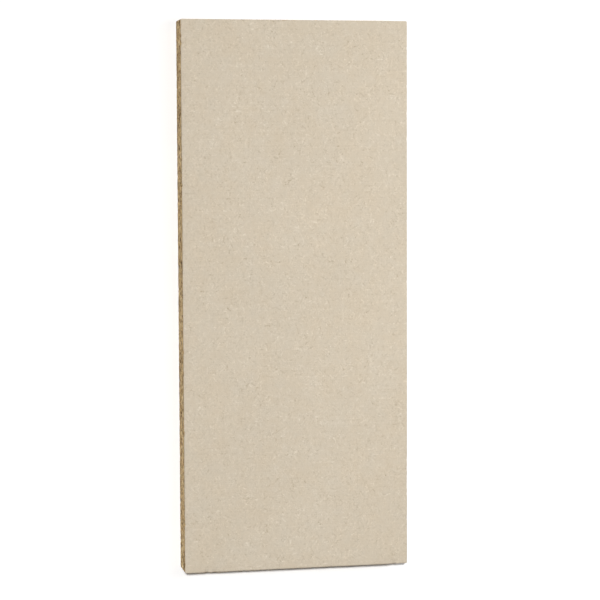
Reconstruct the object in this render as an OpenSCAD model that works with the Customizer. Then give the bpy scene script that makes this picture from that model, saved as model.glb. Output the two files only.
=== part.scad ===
// Chipboard sheet: one flat piece of particle board, sawn square to size.
// It lies on a broad face. +X runs across the width, +Y runs along the length
// and +Z is up through the thickness. The origin is the centre of the lower
// broad face, so the sheet stands on z = 0.

/* [Sheet] */
// Length of the sheet, along Y
sheet_length = 305; // [60:1:2440]
// Width of the sheet, along X
sheet_width = 127; // [40:1:1220]
// Thickness of the board, along Z
board_thickness = 18; // [8:1:38]

/* [Edges] */
// Radius that the four upright corners are knocked back to
corner_radius = 0.8; // [0.6:0.1:3]
// Width of the flat that sanding takes off each arris round a broad face
arris_width = 0.4; // [0.1:0.05:0.5]

/* [Colour] */
// Colour of the sanded faces
board_colour = "#d3c6b1"; // [#d3c6b1:Pale beige, #c2a97e:Straw, #a9835a:Brown]

/* [Hidden] */

// Facets of one whole turn; a corner takes a quarter of them
$fn = 48;

// Distance between the centres of the corner rounds, in each direction
corner_span_x = sheet_width - 2 * corner_radius;
corner_span_y = sheet_length - 2 * corner_radius;

// Section through the board: a rectangle from z = 0 up, centred on the
// first axis, with the arris taken off all four of its corners
module board_section(across) {
    outer = across / 2;
    inner = outer - arris_width;
    lower = arris_width;
    upper = board_thickness - arris_width;
    polygon([
        [-inner, 0],
        [inner, 0],
        [outer, lower],
        [outer, upper],
        [inner, board_thickness],
        [-inner, board_thickness],
        [-outer, upper],
        [-outer, lower]
    ]);
}

// The full width of the board, stopping where the corner rounds begin
module lengthwise_slab() {
    rotate([90, 0, 0])
        linear_extrude(height = corner_span_y, center = true)
            board_section(sheet_width);
}

// The full length of the board, stopping where the corner rounds begin
module crosswise_slab() {
    rotate([90, 0, 90])
        linear_extrude(height = corner_span_x, center = true)
            board_section(sheet_length);
}

// One upright corner: the same eased section, turned about the corner's axis,
// so that the arris runs round the corner without a break
module corner_round() {
    rotate_extrude()
        intersection() {
            board_section(2 * corner_radius);
            square([corner_radius, board_thickness]);
        }
}

// A corner round in each of the four corners
module corner_rounds() {
    for (x = [-1, 1], y = [-1, 1])
        translate([x * corner_span_x / 2, y * corner_span_y / 2, 0])
            corner_round();
}

// The whole sheet, one solid
module chipboard_sheet() {
    color(board_colour)
        union() {
            lengthwise_slab();
            crosswise_slab();
            corner_rounds();
        }
}

chipboard_sheet();
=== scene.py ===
"""A sheet of raw chipboard, lying flat on a pale floor.

Its broad faces are sanded, and show fine flakes lying every way. Its four sawn edges show the
section of the board: small dense particles near the faces, coarse chips in the core, and gaps
between them. The chips, gaps and broken arrises of the edges are real relief, and the gaps and the
cracks round the chips also carry painted shade.
"""

import math

import bmesh
import bpy
import numpy as np
from mathutils import Euler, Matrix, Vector


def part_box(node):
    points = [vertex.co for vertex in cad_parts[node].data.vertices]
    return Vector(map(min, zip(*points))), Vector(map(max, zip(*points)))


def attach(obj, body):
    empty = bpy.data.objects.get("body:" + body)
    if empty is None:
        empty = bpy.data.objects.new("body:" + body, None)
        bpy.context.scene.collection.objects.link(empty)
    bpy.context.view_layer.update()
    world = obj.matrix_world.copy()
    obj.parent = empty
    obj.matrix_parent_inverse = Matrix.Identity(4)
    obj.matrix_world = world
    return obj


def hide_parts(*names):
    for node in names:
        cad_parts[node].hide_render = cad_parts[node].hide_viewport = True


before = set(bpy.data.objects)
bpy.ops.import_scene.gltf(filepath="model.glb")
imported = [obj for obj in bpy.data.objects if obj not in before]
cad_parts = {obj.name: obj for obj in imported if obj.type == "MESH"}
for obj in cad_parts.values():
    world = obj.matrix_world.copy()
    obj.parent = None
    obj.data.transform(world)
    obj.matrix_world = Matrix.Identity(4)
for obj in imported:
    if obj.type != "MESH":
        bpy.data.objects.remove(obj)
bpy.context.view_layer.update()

MM = 0.001

# The board, as it was sawn
BOARD_LOW, BOARD_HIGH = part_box("chipboard_sheet")
BOARD_SIZE = BOARD_HIGH - BOARD_LOW
BOARD_MIDDLE = (BOARD_LOW + BOARD_HIGH) / 2
EDGE_RUN = 2 * (BOARD_SIZE.x + BOARD_SIZE.y)  # once round the board
CORNER_RADIUS = 0.8 * MM
CORNER_STEPS = 3
ARRIS = 0.4 * MM

# Least share of a direction, from 0 to 1
ALIGNED = 0.9  # along an axis, for a line or a face to count as lying on it
SANDED = 0.5  # up or down, for a face to be finished as the broad faces are
FULL_RELIEF = 0.6  # level, for a vertex to take all the relief of its spot

# How finely the mesh is cut up: small cells on the sawn edges, for their relief
CELL_ALONG = 0.54 * MM
CELL_UP = 0.34 * MM
SHORTEST_CUT = 4  # in cells: shorter edges, at the corners and arrises, are left whole
FACE_RIM = 0.35 * MM  # ring of small cells round each broad face
FACE_GAP = 4.0 * MM  # from that ring to the plain grid in the middle
FACE_GRID = 8.0 * MM
MAP_GAP = 1.0 * MM  # between the parts of the flat map

# The chips of the core, in millimetres. A measure is its least, its usual excess, and its most
SECTION_SEED = 7
CHIPS = 34000
CHIP_LENGTH = (0.8, 0.9, 6.0)
CHIP_THICKNESS = (0.35, 0.2, 1.0)
CHIP_LEAN = 0.18  # radians; a third of the chips lean more
CHIP_STAND = 0.14  # most that one chip stands back from the saw's plane
CHIP_FIBRES = (9, 20)  # how closely its fibres lie, in radians a millimetre
GAP_DEPTH = 0.7  # deepest gap between chips
GAP_SHALLOWEST = 0.55  # as a share of that
SAMPLES = 4  # samples of the section across one cell of the mesh, each way

# Patterns of the section: how far one blotch of each reaches up the board and along it
GRAINS = (0.26, 0.54)
STREAKS = (0.5, 2.2)
GAPS = (0.34, 1.2)
GAP_CLUSTERS = (1.9, 6.1)
PATCHES = (0.7, 1.6)
BANDS = (7.6, 27.0)

# The dense layers under the two faces, in millimetres and shares
FINE_LAYER = 2.6
LAYER_BLEND = 1.4  # how gradually they give way to the core
FINE_RELIEF = 0.16
FINE_CHIP_SHARE = 0.25  # of the chips that would lie there, how many do
FINE_CHIP_SIZE = 0.4  # beside a chip of the core

# How open the core is where it is closest, and how much more where it is most open
CORE_OPENNESS = 0.2
CORE_OPENNESS_RANGE = 0.7

# Tones of the sawn edges, from 0, black, to 1, the palest straw
# painted shade: the tone of a gap, near black for its depth
GAP_PAINTED_SHADE = 0.06
FINE_TONE = 0.47
CHIP_TONE = 0.57
CORE_PALER = 0.08
CHIP_VARIETY = 0.16
DARK_CHIP_SHARE = 0.12
DARK_CHIP_DROP = 0.3
FIBRE_TONE = 0.05
GRAIN_TONE_RANGE = 0.6
STREAK_TONE_RANGE = 0.3
OUTLINE_SHADE = 0.78
BAND_SHADE = 0.93
BAND_SHADE_RANGE = 0.14

# Small pieces broken out of each arris on its way round the board
BREAKS = 160
BREAK_REACH = 2.2 * MM
BREAK_SHORTEST = 0.3  # as a share of that
BREAK_DEPTH = 0.5 * MM

# Layers of flakes on the sanded faces, in millimetres: one flake's share of the face, its length,
# its width, and a shift that sets the layers apart
FLAKE_LAYERS = (
    (3.2, 3.8, 0.9, (0, 0, 0)),
    (2.2, 2.6, 0.75, (31, 7, 3)),
    (1.5, 1.9, 0.6, (5, 43, 9)),
    (1.1, 1.1, 0.7, (17, 61, 5)),
)
FLAKE_FADES = (0.75, 1.15)  # where a flake begins and ceases to fade, in half lengths
FLAKE_CONTRAST = 3.0

# The sanded faces: sizes in millimetres, and how much each pattern adds to the tone
FACE_GRAIN = 0.6
FACE_PATCH = 9.0
FACE_MOTTLE = 36.0
FACE_FLAKE_TONE = 0.22
FACE_GRAIN_TONE = 0.25
FACE_MOTTLE_TONE = 0.18
FACE_PATCH_RANGE = 2.5  # in how clear the flakes and the grain are
FACE_WARMTH_RANGE = 4.0
FACE_ROUGHNESS = 0.72
FACE_ROUGHNESS_RANGE = 0.15
FACE_RELIEF = 0.03 * MM

# The sawn edges: sizes in millimetres, and how much each pattern adds to the tone
EDGE_CHIP = (2.4, 0.8)  # length and thickness
EDGE_CRUMB = (0.95, 0.45)
EDGE_CRACK = 0.12  # as a share of the chip that it goes round
EDGE_WAVE = 5.0
EDGE_WAVE_HEIGHT = 1.2
EDGE_FIBRE = 0.35
EDGE_FIBRE_STRETCH = (0.35, 0.35, 1.6)
EDGE_DUST = 0.4
EDGE_CHIP_TONE = (0.06, 0.66)  # in the fine layers, and in the core
EDGE_CRUMB_TONE = (0.3, 0.2)
EDGE_CRACK_PAINTED_SHADE = 0.16  # painted shade, taken off the tone in a crack round a chip
EDGE_FIBRE_TONE = 0.12
EDGE_DUST_TONE = 0.25
# painted shade: darker where the relief is set back
EDGE_RECESS_PAINTED_SHADE = -0.2
EDGE_RELIEF = 0.05 * MM

# Colours from dark to pale, each with its place on a scale of tones
FACE_COLOURS = (
    (0.0, (0.360, 0.298, 0.210)),
    (0.3, (0.480, 0.416, 0.322)),
    (0.5, (0.532, 0.465, 0.367)),
    (0.7, (0.584, 0.514, 0.412)),
    (1.0, (0.670, 0.605, 0.499)),
)
EDGE_COLOURS = (
    (0.00, (0.06, 0.037, 0.016)),
    (0.25, (0.24, 0.163, 0.075)),
    (0.50, (0.49, 0.368, 0.188)),
    (0.75, (0.71, 0.570, 0.320)),
    (1.00, (0.84, 0.730, 0.470)),
)
FACE_TINT = (1.0, 0.975, 0.94)
EDGE_TINT = (1.04, 0.86, 0.70)

# The studio
FLOOR_REACH = 6.0
FLOOR_DROP = 0.05 * MM  # keeps the floor clear of the lower face
FLOOR_COLOUR = (0.98, 0.98, 0.98, 1.0)
AMBIENT = 0.07
BACKDROP = 0.90  # as bright as the far floor, so that no horizon shows
OVERHEAD_FROM = (-0.18, 0.27, 1.0)
OVERHEAD_POWER = 2.78
OVERHEAD_SPREAD = math.radians(4)
SIDE_PLACE = (0.28, 0.09, 0.38)
SIDE_SIZE = (0.25, 0.80)  # across the board and along it
SIDE_POWER = 1.08
FILL_PLACE = (-0.34, -0.44, 0.16)
FILL_SIZE = (0.30, 0.30)
FILL_POWER = 0.24

# The view: turned and tilted a little off the square, from a few board lengths away
CAMERA_LENS = 118.5
SENSOR_WIDTH = 36.0
VIEW_DISTANCE = 3.590  # in board lengths
VIEW_TURN = math.radians(11.71)
VIEW_TILT = math.radians(4.15)
VIEW_ROLL = math.radians(0.239)
AIM_RIGHT = 0.0066  # in board lengths, from the middle of the upper face
AIM_DOWN = 0.0056


# ---------------------------------------------------------------- the board's section


def smoothstep(low, high, x):
    t = np.clip((x - low) / (high - low), 0.0, 1.0)
    return t * t * (3.0 - 2.0 * t)


class Section:
    """What sawing lays open, unrolled round the board and measured in millimetres: the tone of each
    spot, with painted shade in its gaps and round its chips, its warmth, and how far it lies behind
    the saw's plane."""

    step_along = CELL_ALONG / MM / SAMPLES
    step_up = CELL_UP / MM / SAMPLES

    def __init__(self, run, height, seed):
        self.rng = np.random.default_rng(seed)
        self.run = run / MM
        self.height = height / MM
        self.shape = (math.ceil(self.height / self.step_up), math.ceil(self.run / self.step_along))
        self.lay_ground()
        for number in range(1, CHIPS + 1):
            self.lay_chip(number)
        self.shade_outlines()

    def noise(self, height, width):
        """Values from 0 to 1 that change smoothly over about `height` by `width` millimetres."""
        coarse = self.rng.random((int(self.height / height) + 2, int(self.run / width) + 2))
        # Just short of the last value, so that each spot has a value on both sides
        at_row, at_column = (np.linspace(0, n - 1.001, m) for n, m in zip(coarse.shape, self.shape))
        row, column = at_row.astype(int), at_column.astype(int)
        down, across = (at_row - row)[:, None], at_column - column
        at_left = coarse[row][:, column] * (1 - down) + coarse[row + 1][:, column] * down
        at_right = coarse[row][:, column + 1] * (1 - down) + coarse[row + 1][:, column + 1] * down
        return at_left * (1 - across) + at_right * across

    def core_share(self, z):
        """0 in the fine layers and 1 in the core."""
        from_face = np.minimum(z, self.height - z)
        return smoothstep(FINE_LAYER - LAYER_BLEND / 2, FINE_LAYER + LAYER_BLEND / 2, from_face)

    def lay_ground(self):
        """Fine particles near both faces, and the open gaps of the core, which lie in clusters."""
        z = (np.arange(self.shape[0])[:, None] + 0.5) * self.step_up
        grains = self.noise(*GRAINS)
        streaks = self.noise(*STREAKS)
        unevenness = GRAIN_TONE_RANGE * (grains - 0.5) + STREAK_TONE_RANGE * (streaks - 0.5)
        openness = CORE_OPENNESS + CORE_OPENNESS_RANGE * self.noise(*GAP_CLUSTERS)
        is_gap = self.noise(*GAPS) < openness * self.core_share(z)
        gap_back = GAP_DEPTH * (GAP_SHALLOWEST + (1 - GAP_SHALLOWEST) * self.noise(*PATCHES))
        particle_back = FINE_RELIEF * self.noise(*GRAINS)
        # gaps take the near-black painted shade, particles their own tone
        self.tone = np.where(is_gap, GAP_PAINTED_SHADE, FINE_TONE + unevenness)
        self.back = np.where(is_gap, gap_back, particle_back)
        self.warmth = self.noise(*PATCHES)
        self.chip_at = np.zeros(self.shape, np.int32)

    def lay_chip(self, number):
        """Lays one chip over what is there: a slip with blunt ends, nearly level."""
        rng = self.rng
        along, up = rng.random() * self.run, rng.random() * self.height
        core = self.core_share(up)
        if rng.random() > FINE_CHIP_SHARE + (1 - FINE_CHIP_SHARE) * core:
            return
        size = FINE_CHIP_SIZE + (1 - FINE_CHIP_SIZE) * core
        length = size * self.measure(CHIP_LENGTH)
        thickness = size * self.measure(CHIP_THICKNESS)
        lean = rng.normal(0.0, CHIP_LEAN)
        spots, lengthwise, crosswise = self.spots_near(along, up, length, thickness, lean)
        inside = np.abs(2 * lengthwise / length) ** 3 + (2 * crosswise / thickness) ** 2 < 1
        fibres = FIBRE_TONE * np.sin(crosswise * rng.uniform(*CHIP_FIBRES) + rng.random() * math.tau)
        for values, laid in (
            (self.tone, self.chip_tone(core) + fibres),
            (self.back, CHIP_STAND * rng.random() ** 2),
            (self.warmth, rng.random()),
            (self.chip_at, number),
        ):
            values[spots] = np.where(inside, laid, values[spots])

    def measure(self, limits):
        least, excess, most = limits
        return min(most, least + self.rng.exponential(excess))

    def chip_tone(self, core):
        tone = CHIP_TONE + CORE_PALER * core + CHIP_VARIETY * self.rng.normal()
        if self.rng.random() < DARK_CHIP_SHARE:
            tone -= DARK_CHIP_DROP
        return max(tone, 2 * GAP_PAINTED_SHADE)  # paler than a gap, however dark

    def spots_near(self, along, up, length, thickness, lean):
        """The spots that a chip may cover, and how far each lies from the chip's middle, along
        the chip and across it."""
        reach_up = (length * abs(math.sin(lean)) + thickness) / 2
        rows = self.window(up, reach_up, self.step_up, self.shape[0])
        columns = self.window(along, length / 2, self.step_along, self.shape[1])
        v = (np.arange(*rows)[:, None] + 0.5) * self.step_up - up
        u = (np.arange(*columns) + 0.5) * self.step_along - along
        lengthwise = u * math.cos(lean) + v * math.sin(lean)
        crosswise = v * math.cos(lean) - u * math.sin(lean)
        return (slice(*rows), slice(*columns)), lengthwise, crosswise

    @staticmethod
    def window(middle, reach, step, end):
        return max(0, int((middle - reach) / step)), min(end, int((middle + reach) / step) + 1)

    def shade_outlines(self):
        """The thin shadow where one chip stops against the next, and the slow changes of tone
        along the board."""
        stops = np.zeros(self.shape, bool)
        stops[:, 1:] |= self.chip_at[:, 1:] != self.chip_at[:, :-1]
        stops[1:, :] |= self.chip_at[1:, :] != self.chip_at[:-1, :]
        self.tone *= np.where(stops, OUTLINE_SHADE, 1.0)
        self.tone *= BAND_SHADE + BAND_SHADE_RANGE * self.noise(*BANDS)

    def sample(self, values, along, up):
        """The mean of `values` over the cell round each place, which is given in metres."""
        rows, columns = (n // SAMPLES for n in self.shape)
        cells = values[: rows * SAMPLES, : columns * SAMPLES]
        cells = cells.reshape(rows, SAMPLES, columns, SAMPLES).mean((1, 3))
        row = np.clip((up / CELL_UP).astype(int), 0, rows - 1)
        column = np.clip((along / CELL_ALONG).astype(int), 0, columns - 1)
        return cells[row, column]


# ---------------------------------------------------------------- the board's mesh


def edges_along(board, upright, least=0.0):
    """The upright edges, or the others, that are longer than `least`."""
    found = []
    for edge in board.edges:
        line = edge.verts[0].co - edge.verts[1].co
        is_upright = abs(line.z) > ALIGNED * line.length
        if is_upright == upright and line.length > least:
            found.append(edge)
    return found


def is_broad(face):
    return abs(face.normal.z) > ALIGNED


def bevel(board, edges, width, steps):
    bmesh.ops.bevel(
        board,
        geom=edges,
        offset=width,
        offset_type="OFFSET",
        affect="EDGES",
        segments=steps,
        profile=0.5,
        material=-1,
    )
    board.normal_update()


def eased_block():
    """A block of the board's size, with its corners rounded and its arrises taken off."""
    board = bmesh.new()
    bmesh.ops.create_cube(board, size=1.0)
    bmesh.ops.scale(board, vec=BOARD_SIZE, verts=board.verts)
    bmesh.ops.translate(board, vec=BOARD_MIDDLE, verts=board.verts)
    bevel(board, edges_along(board, upright=True), CORNER_RADIUS, CORNER_STEPS)
    outlines = [e for e in board.edges if any(is_broad(f) for f in e.link_faces)]
    bevel(board, outlines, ARRIS, 1)
    return board


def cut_edges(board, edges, cell):
    """Cuts each of `edges` into lengths of about one cell."""
    groups = {}
    for edge in edges:
        pieces = round(edge.calc_length() / cell)
        groups.setdefault(pieces, []).append(edge)
    for pieces, group in groups.items():
        bmesh.ops.subdivide_edges(board, edges=group, cuts=pieces - 1, use_grid_fill=True)


def cut_walls(board):
    """Cuts the four sawn edges into small cells. The broad faces are taken off first, and their
    outlines are left open."""
    bmesh.ops.delete(board, geom=[f for f in board.faces if is_broad(f)], context="FACES_ONLY")
    for upright, cell in ((False, CELL_ALONG), (True, CELL_UP)):
        cut_edges(board, edges_along(board, upright, SHORTEST_CUT * cell), cell)


def fill_broad_faces(board):
    """Gives each broad face a fine rim and a plain grid, joined by triangles."""
    open_edges = [e for e in board.edges if e.is_boundary]
    for face in bmesh.ops.edgeloop_fill(board, edges=open_edges)["faces"]:
        height = face.calc_center_median().z
        bmesh.ops.inset_individual(board, faces=[face], thickness=FACE_RIM, use_even_offset=True)
        rim = list(face.edges)
        bmesh.ops.delete(board, geom=[face], context="FACES_ONLY")
        bmesh.ops.triangle_fill(board, use_beauty=True, edges=rim + middle_grid(board, height))


def middle_grid(board, height):
    """Lays a plain grid over the middle of a broad face, and returns its outer edges."""
    reach = BOARD_SIZE.xy / 2 - Vector((1, 1)) * (ARRIS + FACE_RIM + FACE_GAP)
    made = bmesh.ops.create_grid(
        board,
        x_segments=round(2 * reach.x / FACE_GRID),
        y_segments=round(2 * reach.y / FACE_GRID),
        size=1.0,
    )["verts"]
    bmesh.ops.scale(board, vec=(reach.x, reach.y, 1), verts=made)
    bmesh.ops.translate(board, vec=(0, 0, height), verts=made)
    # Each edge once, and in the same order on every run
    return list(dict.fromkeys(e for v in made for e in v.link_edges if e.is_boundary))


def board_mesh():
    """The whole board. Its first material is for the broad faces and the arrises beside them, and
    its second for the sawn edges."""
    board = eased_block()
    cut_walls(board)
    fill_broad_faces(board)
    bmesh.ops.recalc_face_normals(board, faces=board.faces)
    for face in board.faces:
        face.smooth = True
        face.material_index = 0 if abs(face.normal.z) > SANDED else 1
    mesh = bpy.data.meshes.new("chipboard_board")
    board.to_mesh(mesh)
    board.free()
    return mesh


def read(items, name, width):
    found = np.empty(len(items) * width)
    items.foreach_get(name, found)
    return found.reshape(-1, width)


def unrolled(place):
    """How far round the board's outline each place lies, starting from a corner."""
    x, y = place[:, 0], place[:, 1]
    half = BOARD_SIZE.xy / 2
    width, length = BOARD_SIZE.xy
    on_long_edge = half.x - np.abs(x) < half.y - np.abs(y)
    return np.select(
        [on_long_edge & (x > 0), ~on_long_edge & (y > 0), on_long_edge],
        [half.y + y, length + half.x - x, length + width + half.y - y],
        2 * length + width + half.x + x,
    )


def broken_arris(rng):
    """How much is broken off one arris, cell by cell round the board."""
    at = np.arange(math.ceil(EDGE_RUN / CELL_ALONG)) * CELL_ALONG
    lost = np.zeros(len(at))
    for _ in range(BREAKS):
        middle = rng.random() * EDGE_RUN
        reach = BREAK_REACH * (BREAK_SHORTEST + (1 - BREAK_SHORTEST) * rng.random())
        depth = BREAK_DEPTH * rng.random() ** 2
        lost = np.maximum(lost, depth * np.clip(1 - ((at - middle) / reach) ** 2, 0, 1))
    return lost


def broken_off(place, along):
    """How much is broken off at each place: nothing away from the two arrises."""
    rng = np.random.default_rng(SECTION_SEED + 1)
    upper, lower = broken_arris(rng), broken_arris(rng)
    column = np.clip((along / CELL_ALONG).astype(int), 0, len(upper) - 1)
    lost = np.where(place[:, 2] > BOARD_MIDDLE.z, upper[column], lower[column])
    inside = np.array(BOARD_SIZE) / 2 - np.abs(place - np.array(BOARD_MIDDLE))
    from_arris = np.maximum(inside[:, 2], inside[:, :2].min(1))
    return lost * (1 - smoothstep(ARRIS, 3 * ARRIS, from_arris))


def lay_open_edges(mesh):
    """Gives the sawn edges their relief, and every vertex the tone of the chip that it lies on, or
    the painted shade of a gap.
    """
    section = Section(EDGE_RUN, BOARD_SIZE.z, SECTION_SEED)
    place = read(mesh.vertices, "co", 3)
    outward = read(mesh.vertex_normals, "vector", 3)
    along = unrolled(place)
    up = place[:, 2] - BOARD_LOW.z

    # The broad faces stay flat, and the arrises beside them take part of the relief
    on_wall = smoothstep(0.0, FULL_RELIEF, np.hypot(outward[:, 0], outward[:, 1]))
    back = section.sample(section.back, along, up) * MM * on_wall
    back = np.maximum(back, broken_off(place, along))
    place -= outward * back[:, None]
    mesh.vertices.foreach_set("co", place.ravel())

    # the chips' tone, with painted shade in the gaps and round the chips
    give_attribute(mesh, "chip_tone", section.sample(section.tone, along, up))
    give_attribute(mesh, "chip_warmth", section.sample(section.warmth, along, up))
    give_attribute(mesh, "set_back", np.clip(back / (GAP_DEPTH * MM), 0, 1))
    mesh.update()


def give_attribute(mesh, name, values):
    attribute = mesh.attributes.new(name, "FLOAT", "POINT")
    attribute.data.foreach_set("value", values.astype(np.float32))


def lay_out_map(mesh):
    """One flat map of the whole board, all at one scale: the broad faces one above the other, then
    the two long edges, then the two ends side by side."""
    width, length, thickness = BOARD_SIZE
    vertex = read(mesh.loops, "vertex_index", 1)[:, 0].astype(int)
    x, y, z = (read(mesh.vertices, "co", 3) - np.array(BOARD_LOW))[vertex].T
    sides = read(mesh.polygons, "loop_total", 1)[:, 0].astype(int)
    nx, ny, nz = np.repeat(read(mesh.polygons, "normal", 3), sides, axis=0).T

    rows = [MAP_GAP]
    for height in (width, width, thickness, thickness, thickness):
        rows.append(rows[-1] + height + MAP_GAP)
    upper, lower, right, left, ends, side = rows
    second_end = np.where(ny > 0, width + MAP_GAP, 0)
    on_long_edge = np.abs(nx) > np.abs(ny)
    is_part = [nz > ALIGNED, nz < -ALIGNED, on_long_edge & (nx > 0), on_long_edge]
    u = np.select(is_part, [y, y, y, y], x + second_end) + MAP_GAP
    v = np.select(is_part, [upper + x, lower + x, right + z, left + z], ends + z)
    layer = mesh.uv_layers.new(name="OFBake")
    layer.uv.foreach_set("vector", (np.stack([u, v], 1) / side).astype(np.float32).ravel())


# ---------------------------------------------------------------- materials


class Shade:
    """A material in the making, with short words for the nodes that it is made of. Its places
    are in millimetres."""

    def __init__(self, name):
        self.material = bpy.data.materials.new(name)
        self.material.use_nodes = True
        self.tree = self.material.node_tree
        self.shader = self.tree.nodes["Principled BSDF"]
        object_place = self.tree.nodes.new("ShaderNodeTexCoord").outputs["Object"]
        self.place = self.vector("MULTIPLY", object_place, (1 / MM, 1 / MM, 1 / MM))

    def feed(self, socket, value):
        if isinstance(value, bpy.types.NodeSocket):
            self.tree.links.new(value, socket)
        else:
            socket.default_value = value

    def math(self, operation, *values):
        node = self.tree.nodes.new("ShaderNodeMath")
        node.operation = operation
        for socket, value in zip(node.inputs, values):
            self.feed(socket, value)
        return node.outputs[0]

    def scaled(self, value, factor, start=0.0):
        """`factor` times the value, and `start` added."""
        return self.math("MULTIPLY_ADD", value, factor, start)

    def between(self, share, low, high):
        """Goes from `low`, where the share is 0, to `high`, where it is 1."""
        return self.scaled(share, high - low, low)

    def total(self, *values):
        result = values[0]
        for value in values[1:]:
            result = self.math("ADD", result, value)
        return result

    def vector(self, operation, *values):
        node = self.tree.nodes.new("ShaderNodeVectorMath")
        node.operation = operation
        for socket, value in zip(node.inputs, values):
            self.feed(socket, value)
        is_number = operation in ("LENGTH", "DOT_PRODUCT")
        return node.outputs["Value" if is_number else "Vector"]

    def attribute(self, name):
        node = self.tree.nodes.new("ShaderNodeAttribute")
        node.attribute_name = name
        return node.outputs["Fac"]

    def noise(self, place, grain, detail=2.0, roughness=0.5):
        """Noise about 0, whose blotches are about `grain` across."""
        node = self.tree.nodes.new("ShaderNodeTexNoise")
        self.feed(node.inputs["Vector"], place)
        node.inputs["Scale"].default_value = 1 / grain
        node.inputs["Detail"].default_value = detail
        node.inputs["Roughness"].default_value = roughness
        return self.math("SUBTRACT", node.outputs["Fac"], 0.5)

    def steps(self, value, low, high, at_low=0.0, at_high=1.0):
        """Goes smoothly from `at_low`, where the value is `low`, to `at_high`."""
        node = self.tree.nodes.new("ShaderNodeMapRange")
        node.interpolation_type = "SMOOTHSTEP"
        self.feed(node.inputs["Value"], value)
        node.inputs["From Min"].default_value = low
        node.inputs["From Max"].default_value = high
        node.inputs["To Min"].default_value = at_low
        node.inputs["To Max"].default_value = at_high
        return node.outputs["Result"]

    def cells(self, place, size, feature="F1"):
        """Splits space into irregular cells about `size` across."""
        node = self.tree.nodes.new("ShaderNodeTexVoronoi")
        node.feature = feature
        self.feed(node.inputs["Vector"], place)
        node.inputs["Scale"].default_value = 1 / size
        return node

    def random_pair(self, cells):
        """Two random values, from 0 to 1, for each cell."""
        parts = self.tree.nodes.new("ShaderNodeSeparateXYZ")
        self.feed(parts.inputs[0], cells.outputs["Color"])
        return parts.outputs["X"], parts.outputs["Y"]

    def flakes(self, size, length, width, shift):
        """One layer of flakes, each turned its own way and paler or darker than its ground."""
        place = self.vector("ADD", self.place, shift)
        cells = self.cells(place, size)
        direction, tone = self.random_pair(cells)
        turned = self.tree.nodes.new("ShaderNodeVectorRotate")
        turned.rotation_type = "Z_AXIS"
        self.feed(turned.inputs["Vector"], self.vector("SUBTRACT", place, cells.outputs["Position"]))
        self.feed(turned.inputs["Angle"], self.math("MULTIPLY", direction, math.tau))
        shape = self.vector("MULTIPLY", turned.outputs["Vector"], (2 / length, 2 / width, 0))
        inside = self.steps(self.vector("LENGTH", shape), *FLAKE_FADES, 1.0, 0.0)
        tone = self.math("SUBTRACT", tone, 0.5)
        contrast = self.scaled(self.math("ABSOLUTE", tone), FLAKE_CONTRAST)
        mostly_faint = self.math("MULTIPLY", tone, contrast)
        return self.math("MULTIPLY", inside, mostly_faint)

    def packed_chips(self, place, length, thickness):
        """Level chips packed side by side. Gives each chip's tone, about 0, and its warmth, and
        for each place how clear it is of the crack round its chip, from 0 to 1."""
        place = self.vector("MULTIPLY", place, (1 / length, 1 / length, 1 / thickness))
        tone, warmth = self.random_pair(self.cells(place, 1.0))
        crack = self.cells(place, 1.0, "DISTANCE_TO_EDGE").outputs["Distance"]
        return self.math("SUBTRACT", tone, 0.5), warmth, self.steps(crack, 0.0, EDGE_CRACK)

    def colour(self, tone, stops, tint, share):
        """Looks `tone` up among the stops, and multiplies it by `tint` as much as `share` says."""
        ramp = self.tree.nodes.new("ShaderNodeValToRGB")
        self.feed(ramp.inputs["Fac"], tone)
        elements = ramp.color_ramp.elements
        while len(elements) < len(stops):
            elements.new(0.5)
        for element, (position, colour) in zip(elements, stops):
            element.position = position
            element.color = (*colour, 1.0)
        tinted = self.tree.nodes.new("ShaderNodeMix")
        tinted.data_type = "RGBA"
        tinted.blend_type = "MULTIPLY"
        # The sockets of a mix of colours, which share their names with those of other mixes
        factor, first, second = tinted.inputs[0], tinted.inputs[6], tinted.inputs[7]
        self.feed(factor, share)
        self.feed(first, ramp.outputs["Color"])
        self.feed(second, (*tint, 1.0))
        mixed = tinted.outputs[2]
        self.feed(self.shader.inputs["Base Color"], mixed)

    def bump(self, height, distance):
        node = self.tree.nodes.new("ShaderNodeBump")
        node.inputs["Distance"].default_value = distance
        self.feed(node.inputs["Height"], height)
        self.feed(self.shader.inputs["Normal"], node.outputs["Normal"])

    def finish(self, roughness, specular):
        self.feed(self.shader.inputs["Roughness"], roughness)
        self.shader.inputs["Specular IOR Level"].default_value = specular
        return self.material


def sanded_face():
    """Fine flakes lying every way, sanded flat: each a shade paler or darker than the next. They
    stand out more in some patches than in others."""
    shade = Shade("sanded_chipboard")
    flakes = shade.total(*(shade.flakes(*layer) for layer in FLAKE_LAYERS))
    grain = shade.noise(shade.place, FACE_GRAIN)
    mottle = shade.noise(shade.place, FACE_MOTTLE, detail=5.0, roughness=0.6)
    clearness = shade.scaled(shade.noise(shade.place, FACE_PATCH), FACE_PATCH_RANGE, 1.0)
    texture = shade.total(
        shade.scaled(flakes, FACE_FLAKE_TONE),
        shade.scaled(grain, FACE_GRAIN_TONE),
    )
    tone = shade.total(
        0.5,
        shade.math("MULTIPLY", texture, clearness),
        shade.scaled(mottle, FACE_MOTTLE_TONE),
    )
    aside = shade.vector("ADD", shade.place, (50, 20, 10))  # apart from the mottle
    warmth = shade.noise(aside, FACE_MOTTLE / 2, detail=6.0, roughness=0.85)
    shade.colour(tone, FACE_COLOURS, FACE_TINT, shade.scaled(warmth, FACE_WARMTH_RANGE, 0.5))
    shade.bump(shade.total(flakes, grain), FACE_RELIEF)
    roughness = shade.scaled(grain, FACE_ROUGHNESS_RANGE, FACE_ROUGHNESS)
    return shade.finish(roughness, specular=0.3)


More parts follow.
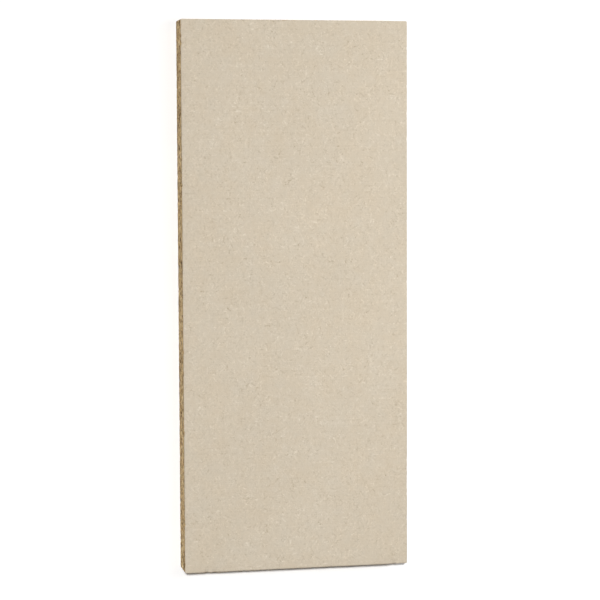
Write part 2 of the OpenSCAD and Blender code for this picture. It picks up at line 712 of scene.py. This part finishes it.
def core_share_at(shade):
    """0 in the fine layers and 1 in the core."""
    height = shade.vector("DOT_PRODUCT", shade.place, (0, 0, 1))
    from_middle = shade.math("ABSOLUTE", shade.math("SUBTRACT", height, BOARD_MIDDLE.z / MM))
    reach = BOARD_SIZE.z / 2 / MM - FINE_LAYER
    return shade.steps(from_middle, reach - LAYER_BLEND / 2, reach + LAYER_BLEND / 2, 1.0, 0.0)


def swaying_place(shade):
    """Places that rise and fall a little along the board, so that what is level sways."""
    rise = shade.tree.nodes.new("ShaderNodeCombineXYZ")
    wave = shade.noise(shade.place, EDGE_WAVE, detail=1.0)
    shade.feed(rise.inputs["Z"], shade.scaled(wave, EDGE_WAVE_HEIGHT))
    return shade.vector("ADD", shade.place, rise.outputs[0])


def sawn_edge():
    """Chips cut across: pale straw to brown, with painted shade between them and where the relief is
    set back, and fibres along each.
    """
    shade = Shade("sawn_chipboard")
    place = swaying_place(shade)
    core = core_share_at(shade)
    chips, warmth, clear_of_chips = shade.packed_chips(place, *EDGE_CHIP)
    crumbs, _, clear_of_crumbs = shade.packed_chips(place, *EDGE_CRUMB)
    chips = shade.math("MULTIPLY", chips, shade.between(core, *EDGE_CHIP_TONE))
    crumbs = shade.math("MULTIPLY", crumbs, shade.between(core, *EDGE_CRUMB_TONE))
    stretched = shade.vector("MULTIPLY", place, EDGE_FIBRE_STRETCH)
    fibres = shade.noise(stretched, EDGE_FIBRE, detail=3.0, roughness=0.6)
    dust = shade.noise(shade.place, EDGE_DUST, detail=1.0)
    tone = shade.total(
        # the chips' tone from the section, with its painted shade in the gaps and round the chips
        shade.attribute("chip_tone"),
        chips,
        crumbs,
        # painted shade in the cracks round the chips
        shade.scaled(clear_of_chips, EDGE_CRACK_PAINTED_SHADE, -EDGE_CRACK_PAINTED_SHADE),
        shade.scaled(fibres, EDGE_FIBRE_TONE),
        shade.scaled(dust, EDGE_DUST_TONE),
        # painted shade, darker the deeper a spot is set back
        shade.scaled(shade.attribute("set_back"), EDGE_RECESS_PAINTED_SHADE),
    )
    warmth = shade.scaled(shade.total(warmth, shade.attribute("chip_warmth")), 0.5)
    shade.colour(tone, EDGE_COLOURS, EDGE_TINT, warmth)
    clear = shade.math("MINIMUM", clear_of_chips, clear_of_crumbs)
    shade.bump(shade.total(fibres, chips, clear), EDGE_RELIEF)
    return shade.finish(roughness=0.85, specular=0.2)


def pale_floor():
    shade = Shade("pale_floor")
    shade.shader.inputs["Base Color"].default_value = FLOOR_COLOUR
    return shade.finish(roughness=0.9, specular=0.0)


# ---------------------------------------------------------------- the scene


def put_in_scene(name, data):
    made = bpy.data.objects.new(name, data)
    bpy.context.scene.collection.objects.link(made)
    return made


def make_board():
    mesh = board_mesh()
    lay_out_map(mesh)
    lay_open_edges(mesh)
    mesh.materials.append(sanded_face())
    mesh.materials.append(sawn_edge())
    board = put_in_scene("chipboard_board", mesh)
    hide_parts("chipboard_sheet")
    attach(board, "root")


def make_floor():
    floor = bmesh.new()
    bmesh.ops.create_grid(floor, x_segments=1, y_segments=1, size=FLOOR_REACH)
    bmesh.ops.translate(floor, vec=(0, 0, BOARD_LOW.z - FLOOR_DROP), verts=floor.verts)
    mesh = bpy.data.meshes.new("floor")
    floor.to_mesh(mesh)
    floor.free()
    mesh.materials.append(pale_floor())
    put_in_scene("floor", mesh)


def make_camera():
    """Looks down on the board from a little to its left, so that its left edge shows."""
    camera = bpy.data.cameras.new("camera")
    camera.lens = CAMERA_LENS
    camera.sensor_width = SENSOR_WIDTH
    turn = Euler((-VIEW_TILT, -VIEW_TURN, -VIEW_ROLL), "ZXY").to_matrix()
    right, up, back = turn.col
    from_face = AIM_RIGHT * right - AIM_DOWN * up + VIEW_DISTANCE * back
    holder = put_in_scene("camera", camera)
    holder.location = Vector((0, 0, BOARD_HIGH.z)) + BOARD_SIZE.y * from_face
    holder.rotation_euler = turn.to_euler()
    bpy.context.scene.camera = holder


def shine_at_board(light, place):
    holder = put_in_scene(light.name, light)
    holder.location = place
    holder.rotation_euler = (-Vector(place)).to_track_quat("-Z", "Y").to_euler()


def make_lights():
    overhead = bpy.data.lights.new("overhead", "SUN")
    overhead.energy = OVERHEAD_POWER
    overhead.angle = OVERHEAD_SPREAD
    shine_at_board(overhead, OVERHEAD_FROM)
    for name, place, size, power in (
        ("side", SIDE_PLACE, SIDE_SIZE, SIDE_POWER),
        ("fill", FILL_PLACE, FILL_SIZE, FILL_POWER),
    ):
        lamp = bpy.data.lights.new(name, "AREA")
        lamp.shape = "ELLIPSE"
        lamp.size, lamp.size_y = size
        lamp.energy = power
        shine_at_board(lamp, place)


def make_surroundings():
    """A pale room that lights the board softly."""
    world = bpy.data.worlds.new("studio")
    world.use_nodes = True
    nodes, links = world.node_tree.nodes, world.node_tree.links
    mix = nodes.new("ShaderNodeMixShader")
    links.new(nodes.new("ShaderNodeLightPath").outputs["Is Camera Ray"], mix.inputs[0])
    for socket, strength in ((mix.inputs[1], AMBIENT), (mix.inputs[2], BACKDROP)):
        background = nodes.new("ShaderNodeBackground")
        background.inputs["Color"].default_value = (1, 1, 1, 1)
        background.inputs["Strength"].default_value = strength
        links.new(background.outputs[0], socket)
    links.new(mix.outputs[0], nodes["World Output"].inputs["Surface"])
    bpy.context.scene.world = world
    bpy.context.scene.view_settings.view_transform = "Standard"


make_board()
make_floor()
make_camera()
make_lights()
make_surroundings()
